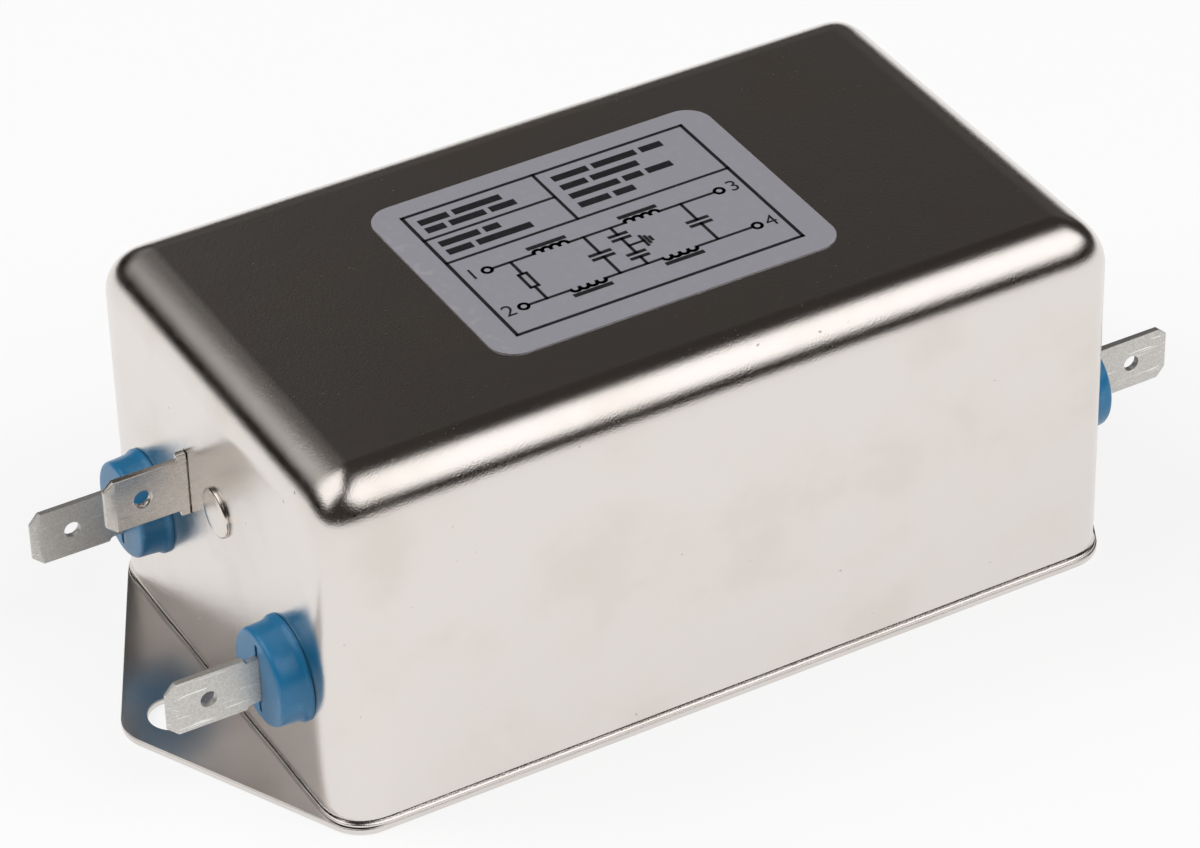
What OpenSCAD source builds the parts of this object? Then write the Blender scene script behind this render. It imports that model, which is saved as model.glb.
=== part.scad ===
/* [Case] */
// Length of the drawn can, line end to load end
can_l = 92.4; // [91:0.2:120]
// Width of the can
can_w = 53.4; // [53:0.2:70]
// Height of the can's top above the underside of the base plate
case_h = 42.5; // [38:0.5:60]
// Sheet thickness of the drawn can
can_t = 0.4; // [0.3:0.05:0.8]
// Radius of the rounded edges round the top
top_r = 5.5; // [3:0.1:7]
// Radius of the four upright corners
corner_r = 4.2; // [3:0.1:4.5]
// How far the foot flange stands out from the can's wall
flange_out = 0.4; // [0.2:0.05:1.5]

/* [Base plate] */
// Sheet thickness of the base plate
base_t = 0.75; // [0.5:0.05:1.5]
// How far each mounting ear reaches past the can's end wall
ear_reach = 11.8; // [10:0.1:20]
// Radius of the rounded tip of an ear
ear_tip_r = 5; // [4:0.1:8]
// Diameter of the mounting hole in an ear
ear_hole_d = 5.3; // [3:0.1:6]
// Distance from the ear's tip to the centre of its mounting hole
ear_hole_in = 5.5; // [4.5:0.1:7]

/* [Blade terminals] */
// Width of a blade
tab_w = 6.3; // [4.8:0.1:7]
// Thickness of a blade
tab_t = 0.8; // [0.5:0.05:1]
// How far the tip of a line or load blade stands out from the end wall
tab_reach = 13.8; // [12:0.1:18]
// Distance of each blade's mid-plane from the side wall next to it
tab_in = 10.5; // [10.2:0.1:12]
// Height of the blades' centre line above the underside of the base plate
tab_z = 15.5; // [14:0.1:18]
// Diameter of the catch hole in a blade
tab_hole_d = 1.8; // [1:0.1:2.2]
// Distance from the tip to the centre of the catch hole
tab_hole_in = 4.65; // [4:0.05:5]
// Length of the bevel that thins the tip on both faces
tab_bevel = 1.3; // [0.6:0.1:2]
// Height cut off each corner of the tip
tab_corner = 1; // [0.4:0.1:1.5]
// Width of the blade's neck in its bushing
tab_neck_w = 5.4; // [3:0.1:5.8]
// Length of a blade's tail behind the end wall
tab_tail = 7.2; // [5.5:0.1:8]

/* [Bushings] */
// How far a bushing stands out from the end wall
bush_out = 3.5; // [2:0.1:6]
// Radius of the bushing's front face
bush_face_r = 5.3; // [4.6:0.05:6]
// Radius of the thin rim that lies on the wall
bush_rim_r = 5.75; // [5.5:0.05:7]
// Thickness of that rim
bush_rim_t = 0.35; // [0.2:0.05:1]
// Radius of the neck that passes through the wall
bush_neck_r = 4.9; // [4:0.1:5.2]
// Radius of the collar behind the wall
bush_collar_r = 6; // [5.6:0.1:6.3]
// Thickness of that collar
bush_collar_t = 1.5; // [0.8:0.1:2.5]

/* [Earth terminal] */
// How far the earth blade's tip stands out from the end wall
earth_reach = 9.4; // [8:0.1:13]
// Sideways place of the earth blade
earth_y = 5.9; // [5:0.1:8]
// Height of the earth blade's centre line
earth_z = 24.6; // [24:0.1:25]
// Distance from the earth blade's tip to its catch hole
earth_hole_in = 4.2; // [3.5:0.1:5]
// Width of the earth blade's shoulders
earth_shoulder_w = 7.7; // [7:0.1:8.5]
// How far the shoulders stand out from the wall
earth_shoulder_out = 1.1; // [0.5:0.1:2]
// Sideways place of the rivet
rivet_y = -1.3; // [-3:0.1:-1]
// Height of the rivet
rivet_z = 25.3; // [24.6:0.1:25.8]
// Radius of the rivet's flat head
rivet_head_r = 2.75; // [2.2:0.05:3]
// Thickness of the head
rivet_head_t = 0.55; // [0.3:0.05:1]
// Radius of the rivet's shank
rivet_shank_r = 1.5; // [1:0.1:1.8]

/* [Type label] */
// Length of the label
label_l = 39.4; // [30:0.2:60]
// Width of the label
label_w = 28.6; // [20:0.2:38]
// Corner radius of the label
label_r = 3; // [1:0.1:5]
// Thickness of the label film
label_t = 0.15; // [0.1:0.01:0.3]

/* [Chokes] */
// Outer radius of the ferrite ring
ferrite_ro = 14.4; // [12:0.1:14.6]
// Inner radius of the ferrite ring
ferrite_ri = 8.6; // [8.4:0.1:10]
// Height of the ferrite ring
ferrite_h = 10; // [8:0.1:11]
// Wall thickness of the ring's plastic case
ring_case_t = 0.8; // [0.5:0.05:0.9]
// Diameter of the winding wire
wire_d = 1.4; // [1:0.05:1.45]
// Turns in each of a choke's two windings
turns = 9; // [4:1:9]
// Thickness of the divider in the ring's bore
divider_t = 1.5; // [0.8:0.1:2]

/* [Capacitors and resistor] */
// Length of an X capacitor, across the case
xcap_l = 31.5; // [28:0.5:34]
// Depth of an X capacitor, along the case
xcap_d = 24; // [20:0.5:26]
// Thickness of an X capacitor, upright as it lies
xcap_t = 13; // [12:0.2:15]
// Spacing of an X capacitor's two leads
xcap_pitch = 27.5; // [26:0.1:29]
// Diameter of the X capacitor's leads
xcap_lead_d = 0.8; // [0.6:0.05:1]
// Length of a Y capacitor, along the case
ycap_l = 13; // [11:0.5:14]
// Thickness of a Y capacitor, across the case
ycap_t = 5; // [3.5:0.1:5.2]
// Height of a Y capacitor
ycap_h = 11; // [9:0.2:11.4]
// Spacing of a Y capacitor's two leads
ycap_pitch = 10; // [8:0.1:10.5]
// Diameter of the Y capacitor's leads
ycap_lead_d = 0.6; // [0.4:0.05:0.8]
// Length of the discharge resistor's body
resistor_l = 9; // [6:0.1:12]
// Radius of its body
resistor_r = 1.6; // [1:0.05:1.8]
// Radius of its leads
resistor_lead_r = 0.4; // [0.3:0.05:0.5]

/* [Insulation] */
// Thickness of the insulating sheet on the base plate
sheet_t = 0.5; // [0.2:0.05:1]
// Diameter of the earth wire
earth_wire_d = 1.2; // [0.8:0.05:1.2]

/* [Hidden] */
$fn = 64;

// Extra reach of every cut past the face it opens
overrun = 1;
// Running clearance round pieces that pass through a hole
fit = 0.05;
// Clearance between curved inner pieces that lie on each other
lay = 0.1;

// Places of the end wall and the base's top face
wall_x = can_l / 2;
inner_x = wall_x - can_t;
inner_y = can_w / 2 - can_t;
foot_corner_r = corner_r + flange_out;
foot_l = can_l + 2 * flange_out;
foot_w = can_w + 2 * flange_out;

// The blades keep to the case's side walls
tab_spacing = can_w - 2 * tab_in;

// Mounting ear: tangent line from the tip's arc to the foot's corner arc
ear_tip_x = wall_x + ear_reach;
ear_hole_x = ear_tip_x - ear_hole_in;
ear_arc_x = ear_tip_x - ear_tip_r;
ear_to_corner = [foot_l / 2 - foot_corner_r - ear_arc_x, foot_w / 2 - foot_corner_r];
ear_normal_a = atan2(ear_to_corner.y, ear_to_corner.x)
    - acos((ear_tip_r - foot_corner_r) / norm(ear_to_corner));
ear_normal = [cos(ear_normal_a), sin(ear_normal_a)];

// Blade tip: share of the thickness and of the bevel's length that set its outline
tip_thin_share = 0.45;
tip_corner_share = 0.9;
// Length of the rounded shoulder between the blade and its neck
shoulder_l = 1;
// The neck starts this far in front of its bushing
neck_out = 1.1;
// Slit moulded in the bushing's face above and below the neck
slit_h = 8.2;
slit_t = 0.35;
slit_deep = 0.6;
// The bushing's body widens a little towards the wall
bush_root_r = (bush_face_r + bush_rim_r) / 2;
bush_edge_r = 0.3;

// Earth blade's bend, its slot in the wall and its foot behind it
bend_r = 0.8;
earth_slot_h = earth_shoulder_w + 2 * fit;
earth_slot_y0 = earth_y - tab_t / 2 - bend_r - lay;
earth_slot_y1 = earth_y + tab_t / 2 + fit;
earth_foot_w = 6;
earth_foot_r = rivet_head_r + 0.2 * rivet_head_r;
earth_foot_top = max(earth_z + earth_shoulder_w / 2, rivet_z + earth_foot_r);
rivet_tail_r = 2.1;
rivet_tail_t = 0.5;

// Choke: its ring in a plastic case, and how far the wire's centre runs from that case
ring_ro = ferrite_ro + lay + ring_case_t;
ring_ri = ferrite_ri - lay - ring_case_t;
ring_h = ferrite_h + 2 * ring_case_t;
wire_off = wire_d / 2 + lay;
sheet_top = base_t + sheet_t;
// Place of a choke's axis between the middle of the case and its end wall
choke_x_share = 0.4367;
choke_x = choke_x_share * inner_x;
ring_z = sheet_top + wire_d + 2 * lay;
ring_mid = ring_z + ring_h / 2;
choke_top = ring_z + ring_h + wire_d + 2 * lay;
// Angles of a winding's first and last turn, from the ring's outer end
wind_from = 20;
wind_to = 160;
// A wire's sides, the steps round each corner of a turn, and a direction no wire runs in
tube_sides = 6;
corner_steps = 2;
up_hint = [0.1, 0.2, 1];
// How much thicker a lead is where it is bent
bend_swell = 1.15;

// Places of the capacitors and of the wires' joints in the middle
xcap_x_share = 0.524;
xcap_x = xcap_x_share * inner_x;
xcap_z = choke_top;
xcap_lead_z = xcap_z + xcap_t / 2;
xcap_top = xcap_z + xcap_t;
xcap_edge_r = 1;
ycap_y = 5.5;
ycap_z = xcap_top - ycap_h;
ycap_edge_r = 0.6;
joint_x = wire_d / 2 + fit;
joint_y = xcap_pitch / 2;
joint_top = xcap_lead_z - xcap_lead_d / 2 - fit;
// Behind a bushing a blade's tail shows its inner face to the wires
tail_x = wall_x - tab_tail;
tail_face_y = tab_spacing / 2 - tab_t / 2 - fit;
tail_mid_x = (tail_x + inner_x - bush_collar_t) / 2;
resistor_x = inner_x - bush_collar_t - resistor_r - lay;
resistor_waist_share = 0.86;
earth_wire_z = choke_top + earth_wire_d / 2 + 2 * lay;
sheet_gap = 0.3;

// Unit vector along v
function unit(v) = v / norm(v);

// Direction of a path at its point i
function heading(p, i) = unit(p[min(i + 1, len(p) - 1)] - p[max(i - 1, 0)]);

// Sideways unit vectors carried along a path, so that its tube does not twist
function sideways(p) = [
    for (
        i = 0, n = unit(cross(heading(p, 0), up_hint));
        i < len(p);
        i = i + 1, n = i < len(p) ? unit(n - (n * heading(p, i)) * heading(p, i)) : n
    ) n
];

// One unbroken closed tube of diameter d along the points p, as triangles
module tube(p, d) {
    side = sideways(p);
    k = tube_sides;
    last = len(p) - 1;
    rings = [
        for (i = [0:last]) for (j = [0:k - 1])
            p[i] + d / 2 * (cos(360 * j / k) * side[i] + sin(360 * j / k) * cross(heading(p, i), side[i]))
    ];
    walls = [
        for (i = [0:last - 1]) for (j = [0:k - 1]) for (half = [0, 1])
            half == 0
                ? [i * k + j, (i + 1) * k + j, (i + 1) * k + (j + 1) % k]
                : [i * k + j, (i + 1) * k + (j + 1) % k, i * k + (j + 1) % k]
    ];
    ends = [
        for (j = [1:k - 2]) for (at = [0, 1])
            at == 0 ? [0, j, j + 1] : [last * k, last * k + j + 1, last * k + j]
    ];
    polyhedron(points = rings, faces = concat(walls, ends));
}

// Flat plate with round corners, standing on z = 0
module rounded_plate(l, w, h, r) {
    translate([-l / 2 + r, -w / 2, 0]) cube([l - 2 * r, w, h]);
    translate([-l / 2, -w / 2 + r, 0]) cube([l, w - 2 * r, h]);
    for (sx = [-1, 1]) for (sy = [-1, 1])
        translate([sx * (l / 2 - r), sy * (w / 2 - r), 0]) cylinder(h = h, r = r);
}

// Upright section of width w whose two top edges are rounded
module arched_section(w, h, r) {
    translate([-w / 2, 0]) square([w, h - r]);
    translate([-w / 2 + r, 0]) square([w - 2 * r, h]);
    for (s = [-1, 1])
        translate([s * (w / 2 - r), h - r]) circle(r);
}

// Upright corner of radius rc whose top is rounded over by r
module corner_post(h, r, rc) {
    rotate_extrude() intersection() {
        square([rc, h]);
        union() {
            square([rc, h - r]);
            if (rc > r) square([rc - r, h]);
            translate([rc - r, h - r]) circle(r);
        }
    }
}

// Deep-drawn form: flat walls, round upright corners and a top edge rolled over by r
module drawn_form(l, w, h, r, rc) {
    intersection() {
        rotate([90, 0, 90]) translate([0, 0, -l / 2]) linear_extrude(l) arched_section(w, h, r);
        rotate([90, 0, 0]) translate([0, 0, -w / 2]) linear_extrude(w) arched_section(l, h, r);
        union() {
            translate([-l / 2 + rc, -w / 2, 0]) cube([l - 2 * rc, w, h]);
            translate([-l / 2, -w / 2 + rc, 0]) cube([l, w - 2 * rc, h]);
            for (sx = [-1, 1]) for (sy = [-1, 1])
                translate([sx * (l / 2 - rc), sy * (w / 2 - rc), 0]) corner_post(h, r, rc);
        }
    }
}

// The can's inner form, grown by a gap inwards and cut off below z = from
module can_hollow(gap, from) {
    t = can_t + gap;
    translate([0, 0, from])
        drawn_form(can_l - 2 * t, can_w - 2 * t, case_h - t - from, top_r - t, corner_r - t);
}

// Places a child at the blade number i of end s: -1 line, 1 load
module at_tab(s, i) {
    translate([s * wall_x, i * tab_spacing / 2, tab_z]) mirror([s < 0 ? 1 : 0, 0, 0]) children();
}

// Drawn steel can, open below, with its narrow foot flange and its holes
module case_can() {
    color([0.86, 0.84, 0.81]) difference() {
        union() {
            translate([0, 0, base_t]) drawn_form(can_l, can_w, case_h - base_t, top_r, corner_r);
            translate([0, 0, base_t]) rounded_plate(foot_l, foot_w, can_t, foot_corner_r);
        }
        can_hollow(0, base_t - overrun);
        for (s = [-1, 1]) for (i = [-1, 1])
            at_tab(s, i) translate([-can_t - overrun, 0, 0]) rotate([0, 90, 0])
                cylinder(h = can_t + 2 * overrun, r = bush_neck_r + fit);
        translate([-wall_x - overrun, earth_slot_y0, earth_z - earth_slot_h / 2])
            cube([can_t + 2 * overrun, earth_slot_y1 - earth_slot_y0, earth_slot_h]);
        translate([-wall_x - overrun, rivet_y, rivet_z]) rotate([0, 90, 0])
            cylinder(h = can_t + 2 * overrun, r = rivet_shank_r + fit);
    }
}

// Outline of one mounting ear in the plane of the base
module ear_outline() {
    tip = [ear_arc_x, 0] + ear_tip_r * ear_normal;
    root = [ear_arc_x, 0] + ear_to_corner + foot_corner_r * ear_normal;
    polygon([[0, root.y], root, tip, [tip.x, -tip.y], [root.x, -root.y], [0, -root.y]]);
    translate([ear_arc_x, 0]) circle(ear_tip_r);
}

// Base plate with a pointed mounting ear at each end
module base_plate() {
    color([0.80, 0.78, 0.75]) difference() {
        union() {
            rounded_plate(foot_l, foot_w, base_t, foot_corner_r);
            for (s = [0, 1]) mirror([s, 0, 0]) linear_extrude(base_t) ear_outline();
        }
        for (s = [-1, 1])
            translate([s * ear_hole_x, 0, -overrun]) cylinder(h = base_t + 2 * overrun, d = ear_hole_d);
    }
}

// Film label in the middle of the can's top
module type_label() {
    color([0.83, 0.83, 0.88])
        translate([0, 0, case_h]) rounded_plate(label_l, label_w, label_t, label_r);
}

// Moulded bushing: face, body, rim on the wall, neck in the hole and collar behind it
module bushing() {
    difference() {
        rotate([90, 0, 90]) rotate_extrude() polygon([
            [0, -can_t - bush_collar_t],
            [bush_collar_r, -can_t - bush_collar_t],
            [bush_collar_r, -can_t],
            [bush_neck_r, -can_t],
            [bush_neck_r, 0],
            [bush_rim_r, 0],
            [bush_rim_r, bush_rim_t],
            [bush_root_r, 2 * bush_rim_t],
            [bush_face_r, bush_out - bush_edge_r],
            [bush_face_r - bush_edge_r, bush_out],
            [0, bush_out]
        ]);
        translate([-can_t - bush_collar_t - overrun, -tab_t / 2 - fit, -tab_neck_w / 2 - fit])
            cube([can_t + bush_collar_t + bush_out + 2 * overrun, tab_t + 2 * fit, tab_neck_w + 2 * fit]);
        translate([bush_out - slit_deep, -slit_t / 2, -slit_h / 2])
            cube([slit_deep + overrun, slit_t, slit_h]);
    }
}

// Side outline of a blade's tip end, from x0 to the tip, with cut corners
module blade_face(x0, reach, w) {
    c = tab_corner;
    polygon([
        [x0, -w / 2], [reach - tip_corner_share * tab_bevel, -w / 2], [reach, -w / 2 + c],
        [reach, w / 2 - c], [reach - tip_corner_share * tab_bevel, w / 2], [x0, w / 2]
    ]);
}

// Blade stamped from sheet: tip thinned on both faces, catch hole, room for a neck behind x0
module blade(x0, reach, hole_in) {
    thin = tip_thin_share * tab_t / 2;
    difference() {
        intersection() {
            translate([0, tab_t / 2, 0]) rotate([90, 0, 0]) linear_extrude(tab_t)
                blade_face(x0, reach, tab_w);
            translate([0, 0, -tab_w / 2]) linear_extrude(tab_w) polygon([
                [x0, -tab_t / 2], [reach - tab_bevel, -tab_t / 2], [reach, -thin],
                [reach, thin], [reach - tab_bevel, tab_t / 2], [x0, tab_t / 2]
            ]);
        }
        translate([reach - hole_in, tab_t / 2 + overrun, 0]) rotate([90, 0, 0])
            cylinder(h = tab_t + 2 * overrun, d = tab_hole_d);
    }
}

// Line or load terminal: blade, hollowed shoulders, neck through the bushing and tail
module terminal() {
    neck = bush_out + neck_out;
    scoop = (tab_w - tab_neck_w) / 2;
    blade(neck + shoulder_l, tab_reach, tab_hole_in);
    difference() {
        translate([-tab_tail, -tab_t / 2, -tab_w / 2])
            cube([tab_tail + neck + shoulder_l, tab_t, tab_w]);
        for (s = [-1, 1]) {
            translate([-tab_tail - overrun, -tab_t / 2 - overrun, s * tab_w / 2 - scoop])
                cube([tab_tail + neck + overrun, tab_t + 2 * overrun, 2 * scoop]);
            translate([neck, tab_t / 2 + overrun, s * tab_w / 2]) rotate([90, 0, 0])
                cylinder(h = tab_t + 2 * overrun, r = scoop);
        }
    }
}

// Earth terminal: blade, shoulders in the wall's slot, bend and foot riveted inside
module earth_tab() {
    h = earth_shoulder_w;
    bend_x = bend_r - can_t;
    bend_y = -tab_t / 2 - bend_r;
    foot_x = -can_t - tab_t;
    rivet_at = [rivet_y - earth_y, rivet_z - earth_z];
    color([0.78, 0.76, 0.72]) translate([-wall_x, earth_y, earth_z]) mirror([1, 0, 0]) difference() {
        union() {
            blade(earth_shoulder_out, earth_reach, earth_hole_in);
            translate([bend_x, -tab_t / 2, -h / 2]) cube([earth_shoulder_out - bend_x, tab_t, h]);
            translate([bend_x, bend_y, -h / 2]) rotate([0, 0, 90])
                rotate_extrude(angle = 90) translate([bend_r, 0]) square([tab_t, h]);
            translate([foot_x, rivet_at.x, -earth_foot_w / 2])
                cube([tab_t, bend_y - rivet_at.x, earth_foot_w]);
            translate([foot_x, rivet_at.x, rivet_at.y]) rotate([0, 90, 0])
                cylinder(h = tab_t, r = earth_foot_r);
        }
        translate([foot_x - overrun, rivet_at.x, rivet_at.y]) rotate([0, 90, 0])
            cylinder(h = tab_t + 2 * overrun, r = rivet_shank_r + fit);
    }
}

// Flat-headed rivet that holds the earth terminal's foot behind the wall
module earth_rivet() {
    grip = can_t + tab_t;
    color([0.84, 0.83, 0.81]) translate([-wall_x, rivet_y, rivet_z]) rotate([0, 90, 0]) {
        translate([0, 0, -rivet_head_t]) cylinder(h = rivet_head_t, r = rivet_head_r);
        cylinder(h = grip, r = rivet_shank_r);
        translate([0, 0, grip]) cylinder(h = rivet_tail_t, r = rivet_tail_r);
    }
}

// Earth wire: under the Y capacitors' inner leads, past the X capacitor, to the earth foot
module earth_wire() {
    side_y = xcap_l / 2 + 2 * earth_wire_d + lay;
    end_x = xcap_x + xcap_d / 2;
    z1 = earth_wire_z + 2 * earth_wire_d;
    foot_y = earth_y - tab_t / 2 - bend_r - earth_wire_d;
    foot_x = -inner_x + tab_t + fit;
    color([0.75, 0.70, 0.20]) tube([
        [ycap_pitch / 2, -ycap_y - earth_wire_d, earth_wire_z],
        [ycap_pitch / 2, ycap_y, earth_wire_z],
        [ycap_pitch / 2 + earth_wire_d / 2, joint_y - 2 * earth_wire_d, earth_wire_z],
        [ycap_pitch / 2, joint_y + 2 * earth_wire_d, z1],
        [0, side_y, z1],
        [-xcap_x, side_y, z1],
        [-end_x, side_y, z1],
        [-end_x - 1.5 * earth_wire_d, joint_y, earth_z - earth_wire_d],
        [-tail_mid_x, foot_y + 2 * earth_wire_d, earth_z],
        [foot_x + earth_wire_d, foot_y, earth_z],
        [foot_x, foot_y, earth_z]
    ], earth_wire_d);
}

// Ferrite ring of a choke, lying on the bottom of its case; s: -1 line side, 1 load side
module ferrite_ring(s) {
    color([0.20, 0.20, 0.21]) translate([s * choke_x, 0, ring_z + ring_case_t])
        rotate_extrude() translate([ferrite_ri, 0]) square([ferrite_ro - ferrite_ri, ferrite_h]);
}

// Plastic trough that holds the ferrite ring
module ring_case(s) {
    color([0.88, 0.87, 0.80]) translate([s * choke_x, 0, ring_z]) rotate_extrude() difference() {
        translate([ring_ri, 0]) square([ring_ro - ring_ri, ring_h - ring_case_t]);
        translate([ring_ri + ring_case_t, ring_case_t])
            square([ring_ro - ring_ri - 2 * ring_case_t, ring_h]);
    }
}

// Flat lid that closes the trough under the winding
module ring_lid(s) {
    color([0.88, 0.87, 0.80]) translate([s * choke_x, 0, ring_z + ring_h - ring_case_t])
        rotate_extrude() translate([ring_ri, 0]) square([ring_ro - ring_ri, ring_case_t]);
}

// Upright divider in the ring's bore that keeps the two windings apart
module ring_divider(s) {
    color([0.88, 0.87, 0.80]) translate([s * choke_x, 0, sheet_top]) intersection() {
        translate([-ring_ri, -divider_t / 2, 0])
            cube([2 * ring_ri, divider_t, ring_z + ring_h - sheet_top]);
        cylinder(h = ring_z + ring_h - sheet_top, r = ring_ri - lay);
    }
}

// Point on the round of a turn's corner c, counted on along the winding; k: step of the round
function turn_point(c, k) =
    let (
        a = wind_from + (wind_to - wind_from) * c / (4 * turns - 2),
        b = -90 * (c % 4 + k / corner_steps),
        ring_r = c % 4 == 0 || c % 4 == 3 ? ring_ro : ring_ri,
        rho = ring_r + wire_off * cos(b),
        z = ring_mid + (c % 4 < 2 ? -1 : 1) * ring_h / 2 + wire_off * sin(b)
    )
    [choke_x + rho * cos(a), rho * sin(a), z];

// Point beside the ring at angle a, off beyond the wire's centre line
function beside(a, off, z) =
    [choke_x + (ring_ro + wire_off + off) * cos(a), (ring_ro + wire_off + off) * sin(a), z];

// Path of a winding, from the blade's tail round the ring to the joint in the middle
function winding_path() = concat(
    [
        [tail_x + wire_d / 2, tail_face_y, tab_z - wire_d],
        [tail_x + wire_d / 2, tail_face_y - 2 * wire_d, tab_z - wire_d],
        beside(wind_from, 1.2 * wire_d, ring_mid + 2 * wire_d),
        beside(wind_from, 0, ring_mid + wire_d / 2)
    ],
    [for (c = [0:4 * turns - 2]) for (k = [0:corner_steps]) turn_point(c, k)],
    [
        beside(wind_to, wire_d / 4, choke_top - wire_off),
        [2 * joint_x, (joint_y + ring_ro * sin(wind_to)) / 2, choke_top + wire_d / 2],
        [joint_x, joint_y - wire_d, (choke_top + joint_top) / 2],
        [joint_x, joint_y, (choke_top + 2 * joint_top) / 3],
        [joint_x, joint_y, joint_top]
    ]
);

// Least gap between neighbouring turns, measured on their points at the bore
turn_gap = min([for (c = [1:4 * turns - 7]) for (k = [0:corner_steps])
    norm(turn_point(c + 4, k) - turn_point(c, k))]) - wire_d;
echo(str("least gap between a winding's turns: ", turn_gap, " mm"));

// One winding of a choke; sx: -1 line side, 1 load side; sy: side of the case
module winding(sx, sy) {
    color([0.72, 0.38, 0.18])
        mirror([sx < 0 ? 1 : 0, 0, 0]) mirror([0, sy < 0 ? 1 : 0, 0]) tube(winding_path(), wire_d);
}

// Straight round wire from a to b
module rod(a, b, d) {
    v = b - a;
    translate(a) rotate([0, acos(v.z / norm(v)), atan2(v.y, v.x)]) cylinder(h = norm(v), d = d);
}

// Bent wire through the points p, a little swollen where it bends
module bent_wire(p, d) {
    for (i = [1:len(p) - 1]) rod(p[i - 1], p[i], d);
    for (i = [1:len(p) - 2]) translate(p[i]) sphere(d = bend_swell * d);
}

// X capacitor: moulded box lying on a choke, its two leads on the side given by out
module x_capacitor(s, out) {
    face_x = s * xcap_x + out * xcap_d / 2;
    color([0.88, 0.72, 0.20]) {
        translate([s * xcap_x, 0, xcap_z]) rounded_plate(xcap_d, xcap_l, xcap_t, xcap_edge_r);
        for (i = [-1, 1])
            if (s < 0)
                rod([face_x - overrun, i * joint_y, xcap_lead_z],
                    [joint_x + wire_d / 2, i * joint_y, xcap_lead_z], xcap_lead_d);
            else
                bent_wire([
                    [face_x - overrun, i * joint_y, xcap_lead_z],
                    [tail_mid_x, i * joint_y, xcap_lead_z],
                    [tail_mid_x, i * (tail_face_y - xcap_lead_d / 2), tab_z + tab_neck_w],
                    [tail_mid_x, i * (tail_face_y - xcap_lead_d / 2), tab_z]
                ], xcap_lead_d);
    }
}

// Y capacitor: small moulded box under the resin, one lead to the earth wire, one to the joint
module y_capacitor(s) {
    lead_z = earth_wire_z + earth_wire_d / 2 + fit;
    color([0.20, 0.38, 0.66]) translate([0, s * ycap_y, 0]) {
        translate([0, 0, ycap_z]) rounded_plate(ycap_l, ycap_t, ycap_h, ycap_edge_r);
        for (i = [-1, 1])
            rod([i * ycap_pitch / 2, 0, lead_z], [i * ycap_pitch / 2, 0, ycap_z + overrun], ycap_lead_d);
    }
}

// Discharge resistor across the two line blades' tails
module discharge_resistor() {
    neck = resistor_waist_share * resistor_r;
    cap_l = resistor_l / 4;
    color([0.78, 0.70, 0.52]) translate([-resistor_x, 0, tab_z]) rotate([90, 0, 0]) {
        rotate_extrude() polygon([
            [0, -resistor_l / 2], [neck, -resistor_l / 2], [resistor_r, -resistor_l / 2 + cap_l / 3],
            [resistor_r, -resistor_l / 2 + cap_l], [neck, -cap_l], [neck, cap_l],
            [resistor_r, resistor_l / 2 - cap_l], [resistor_r, resistor_l / 2 - cap_l / 3],
            [neck, resistor_l / 2], [0, resistor_l / 2]
        ]);
        translate([0, 0, -tail_face_y]) cylinder(h = 2 * tail_face_y, r = resistor_lead_r);
    }
}

// Insulating sheet between the chokes and the base plate
module insulating_sheet() {
    gap = can_t + sheet_gap;
    color([0.72, 0.66, 0.52]) translate([0, 0, base_t])
        rounded_plate(can_l - 2 * gap, can_w - 2 * gap, sheet_t, corner_r - gap);
}

// Casting resin that fills the closed end of the can down to the capacitors
module casting_resin() {
    color([0.16, 0.14, 0.13]) difference() {
        can_hollow(lay, xcap_top);
        translate([-inner_x - overrun, rivet_y - earth_foot_r - lay, xcap_top - overrun])
            cube([
                overrun + tab_t + rivet_tail_t + lay,
                earth_slot_y1 - rivet_y + earth_foot_r + lay,
                max(overrun / 2, earth_foot_top + lay - xcap_top + overrun)
            ]);
    }
}

case_can();
base_plate();
type_label();
color([0.22, 0.50, 0.70]) at_tab(-1, -1) bushing();  // line_bushing_1
color([0.22, 0.50, 0.70]) at_tab(-1, 1) bushing();  // line_bushing_2
color([0.22, 0.50, 0.70]) at_tab(1, -1) bushing();  // load_bushing_1
color([0.22, 0.50, 0.70]) at_tab(1, 1) bushing();  // load_bushing_2
color([0.72, 0.71, 0.68]) at_tab(-1, -1) terminal();  // line_tab_1
color([0.72, 0.71, 0.68]) at_tab(-1, 1) terminal();  // line_tab_2
color([0.72, 0.71, 0.68]) at_tab(1, -1) terminal();  // load_tab_1
color([0.72, 0.71, 0.68]) at_tab(1, 1) terminal();  // load_tab_2
earth_tab();
earth_rivet();
earth_wire();
ferrite_ring(-1);  // ferrite_ring_1
ferrite_ring(1);  // ferrite_ring_2
ring_case(-1);  // ring_case_1
ring_case(1);  // ring_case_2
ring_lid(-1);  // ring_lid_1
ring_lid(1);  // ring_lid_2
ring_divider(-1);  // ring_divider_1
ring_divider(1);  // ring_divider_2
winding(-1, -1);  // winding_1a
winding(-1, 1);  // winding_1b
winding(1, -1);  // winding_2a
winding(1, 1);  // winding_2b
x_capacitor(-1, 1);  // x_capacitor_1
x_capacitor(1, 1);  // x_capacitor_2
y_capacitor(-1);  // y_capacitor_1
y_capacitor(1);  // y_capacitor_2
discharge_resistor();
insulating_sheet();
casting_resin();
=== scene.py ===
# %% [markdown]
# # A mains filter in a drawn steel can
# The real object is a filter for a mains lead: a box of plated steel, drawn from one sheet, that stands on
# a plate with two pointed ears. Five push-on blades connect it. Four of them come through blue plastic
# bushings, and the fifth, for the earth wire, is riveted to the can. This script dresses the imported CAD
# model: it loads that model, lays finer meshes over the pieces that show, gives every piece a material,
# and sets up a small photo studio round it.

import math

import bmesh
import bpy
from mathutils import Matrix, Vector


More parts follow.
